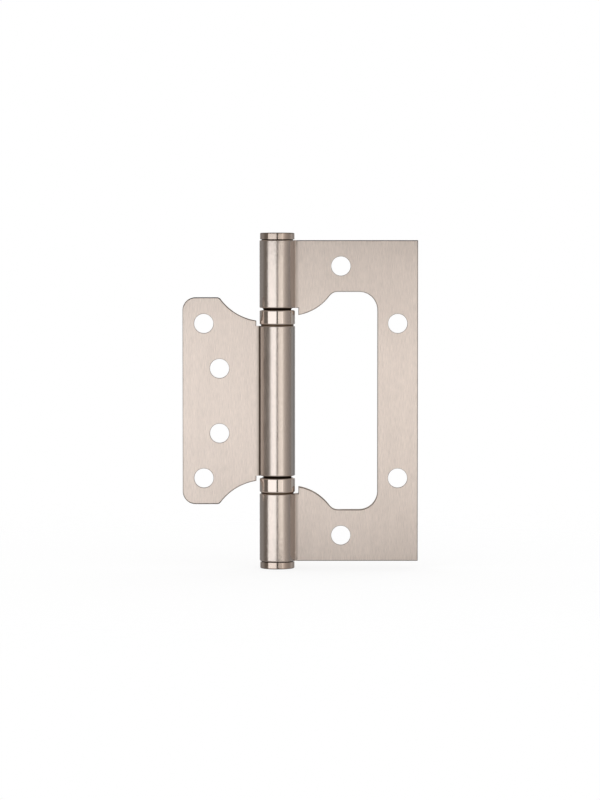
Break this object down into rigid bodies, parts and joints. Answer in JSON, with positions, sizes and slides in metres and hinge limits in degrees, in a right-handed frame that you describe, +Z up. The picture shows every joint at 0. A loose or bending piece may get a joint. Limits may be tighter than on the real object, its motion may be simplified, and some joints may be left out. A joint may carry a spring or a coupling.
{
  "type": "flush hinge",
  "caption": "Flush (butterfly) door hinge: a small leaf nests in a window in the large leaf, round a capped pin with ball bearing rings, in satin nickel.",
  "frame": {"origin": "on the pin's axis, half way up the hinge", "axes": "+Z up along the pin, +X from the pin across the large leaf; the leaves lie open flat in the XZ plane and the faces that meet the wood look along -Y"},
  "size_m": [0.0733, 0.011, 0.1046],
  "materials": {
    "leaf_nickel": "satin nickel plate over steel, brushed along the pin",
    "polished_nickel": "nickel plate, finely turned and nearly bright",
    "pin_steel": "ground steel",
    "race_steel": "hardened steel, ground, lightly greased",
    "ball_steel": "polished bearing steel",
    "cage_nylon": "natural nylon"
  },
  "bodies": {
    "frame_leaf": {"large_leaf": "leaf_nickel", "hinge_pin": "pin_steel", "top_cap": "polished_nickel", "bottom_cap": "polished_nickel", "upper_running_race": "race_steel", "lower_seat_race": "race_steel", "lower_bearing_ring": "polished_nickel"},
    "door_leaf": {"small_leaf": "leaf_nickel", "upper_seat_race": "race_steel", "upper_bearing_ring": "polished_nickel", "lower_running_race": "race_steel"},
    "upper_balls": {"upper_ball_cage": "cage_nylon", "upper_ball_01": "ball_steel", "upper_ball_02": "ball_steel", "upper_ball_03": "ball_steel", "upper_ball_04": "ball_steel", "upper_ball_05": "ball_steel", "upper_ball_06": "ball_steel", "upper_ball_07": "ball_steel", "upper_ball_08": "ball_steel", "upper_ball_09": "ball_steel", "upper_ball_10": "ball_steel"},
    "lower_balls": {"lower_ball_cage": "cage_nylon", "lower_ball_01": "ball_steel", "lower_ball_02": "ball_steel", "lower_ball_03": "ball_steel", "lower_ball_04": "ball_steel", "lower_ball_05": "ball_steel", "lower_ball_06": "ball_steel", "lower_ball_07": "ball_steel", "lower_ball_08": "ball_steel", "lower_ball_09": "ball_steel", "lower_ball_10": "ball_steel"}
  },
  "joints": [
    {"name": "leaf_swing", "type": "hinge", "parent": "frame_leaf", "child": "door_leaf", "pos_m": [0, 0, 0], "axis": [0, 0, -1], "range_deg": [0, 180]},
    {"name": "upper_ball_roll", "type": "hinge", "parent": "frame_leaf", "child": "upper_balls", "pos_m": [0, 0, 0.02614], "axis": [0, 0, -1], "range_deg": [0, 90]},
    {"name": "lower_ball_roll", "type": "hinge", "parent": "frame_leaf", "child": "lower_balls", "pos_m": [0, 0, -0.02614], "axis": [0, 0, -1], "range_deg": [0, 90]}
  ],
  "couplings": [
    {"joint": "upper_ball_roll", "follows": "leaf_swing", "ratio": 0.5},
    {"joint": "lower_ball_roll", "follows": "leaf_swing", "ratio": 0.5}
  ]
}
